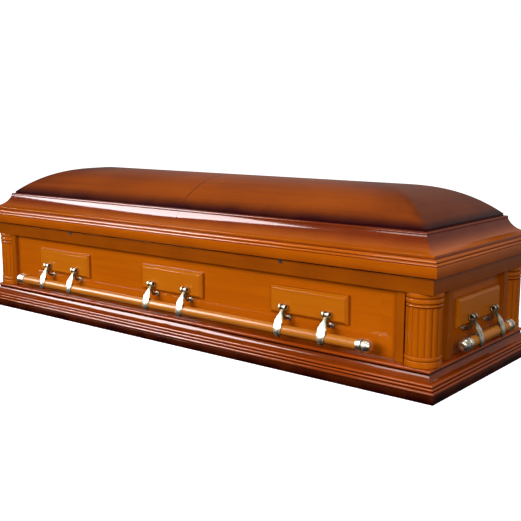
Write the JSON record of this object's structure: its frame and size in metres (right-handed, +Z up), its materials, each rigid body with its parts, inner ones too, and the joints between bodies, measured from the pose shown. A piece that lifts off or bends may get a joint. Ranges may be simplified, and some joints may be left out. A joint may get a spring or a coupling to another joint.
{
  "type": "wooden casket",
  "caption": "Glossy wooden casket with a domed two-part lid, fluted corner columns, stepped base moulding and swing-bar handles.",
  "frame": {"origin": "middle of the base on the floor", "axes": "+Z up; X runs along the casket with the head end at -X and the foot end at +X; the front faces -Y and the lid hinges are on the +Y side"},
  "size_m": [2.1456, 0.7526, 0.5815],
  "materials": {
    "case_wood": "stained orange brown, gloss lacquer",
    "moulding_wood": "stained red brown, gloss lacquer",
    "crown_wood": "stained brown with darkened edges, gloss lacquer",
    "inside_wood": "plain sanded boards",
    "pole_wood": "stained golden brown, gloss lacquer",
    "pale_brass": "polished pale brass",
    "hinge_brass": "plain satin brass",
    "dark_metal": "dark bronze paint"
  },
  "bodies": {
    "case": {"base_moulding": "moulding_wood", "bottom_board": "inside_wood", "top_rail": "case_wood", "front_board": "case_wood", "back_board": "case_wood", "foot_end_board": "case_wood", "head_end_board": "case_wood", "hinge_strap": "hinge_brass", "column_front_head": "case_wood", "column_front_foot": "case_wood", "column_back_head": "case_wood", "column_back_foot": "case_wood", "plaque_front_head": "case_wood", "plaque_front_middle": "case_wood", "plaque_front_foot": "case_wood", "plaque_back_head": "case_wood", "plaque_back_middle": "case_wood", "plaque_back_foot": "case_wood", "plaque_foot_end": "case_wood", "plaque_head_end": "case_wood", "ear_front_head_a": "pale_brass", "ear_front_head_b": "pale_brass", "ear_front_middle_a": "pale_brass", "ear_front_middle_b": "pale_brass", "ear_front_foot_a": "pale_brass", "ear_front_foot_b": "pale_brass", "ear_back_head_a": "pale_brass", "ear_back_head_b": "pale_brass", "ear_back_middle_a": "pale_brass", "ear_back_middle_b": "pale_brass", "ear_back_foot_a": "pale_brass", "ear_back_foot_b": "pale_brass", "ear_foot_end_a": "pale_brass", "ear_foot_end_b": "pale_brass", "ear_head_end_a": "pale_brass", "ear_head_end_b": "pale_brass"},
    "lid_head": {"lid_frame_head": "case_wood", "lid_crown_head": "crown_wood", "hinge_leaf_head": "hinge_brass", "lifting_tab_head": "dark_metal"},
    "lid_foot": {"lid_frame_foot": "case_wood", "lid_crown_foot": "crown_wood", "hinge_leaf_foot": "hinge_brass", "lifting_tab_foot": "dark_metal"},
    "handle_front": {"pole_front": "pole_wood", "arm_front_head_a": "pale_brass", "arm_front_head_b": "pale_brass", "arm_front_middle_a": "pale_brass", "arm_front_middle_b": "pale_brass", "arm_front_foot_a": "pale_brass", "arm_front_foot_b": "pale_brass"},
    "handle_back": {"pole_back": "pole_wood"},
    "handle_foot_end": {"pole_foot_end": "pole_wood", "arm_foot_end_a": "pale_brass", "arm_foot_end_b": "pale_brass"},
    "handle_head_end": {"pole_head_end": "pole_wood", "arm_head_end_a": "pale_brass", "arm_head_end_b": "pale_brass"}
  },
  "joints": [
    {"name": "lid_head_hinge", "type": "hinge", "parent": "case", "child": "lid_head", "pos_m": [0, 0.357, 0.35495], "axis": [-1, 0, 0], "range_deg": [0, 92]},
    {"name": "lid_foot_hinge", "type": "hinge", "parent": "case", "child": "lid_foot", "pos_m": [0, 0.357, 0.35495], "axis": [-1, 0, 0], "range_deg": [0, 92]},
    {"name": "handle_front_hinge", "type": "hinge", "parent": "case", "child": "handle_front", "pos_m": [0, -0.34, 0.2026], "axis": [-1, 0, 0], "range_deg": [0, 70]},
    {"name": "handle_back_hinge", "type": "hinge", "parent": "case", "child": "handle_back", "pos_m": [0, 0.34, 0.2026], "axis": [1, 0, 0], "range_deg": [0, 70]},
    {"name": "handle_foot_end_hinge", "type": "hinge", "parent": "case", "child": "handle_foot_end", "pos_m": [1.036, 0, 0.2026], "axis": [0, -1, 0], "range_deg": [0, 70]},
    {"name": "handle_head_end_hinge", "type": "hinge", "parent": "case", "child": "handle_head_end", "pos_m": [-1.036, 0, 0.2026], "axis": [0, 1, 0], "range_deg": [0, 70]}
  ]
}
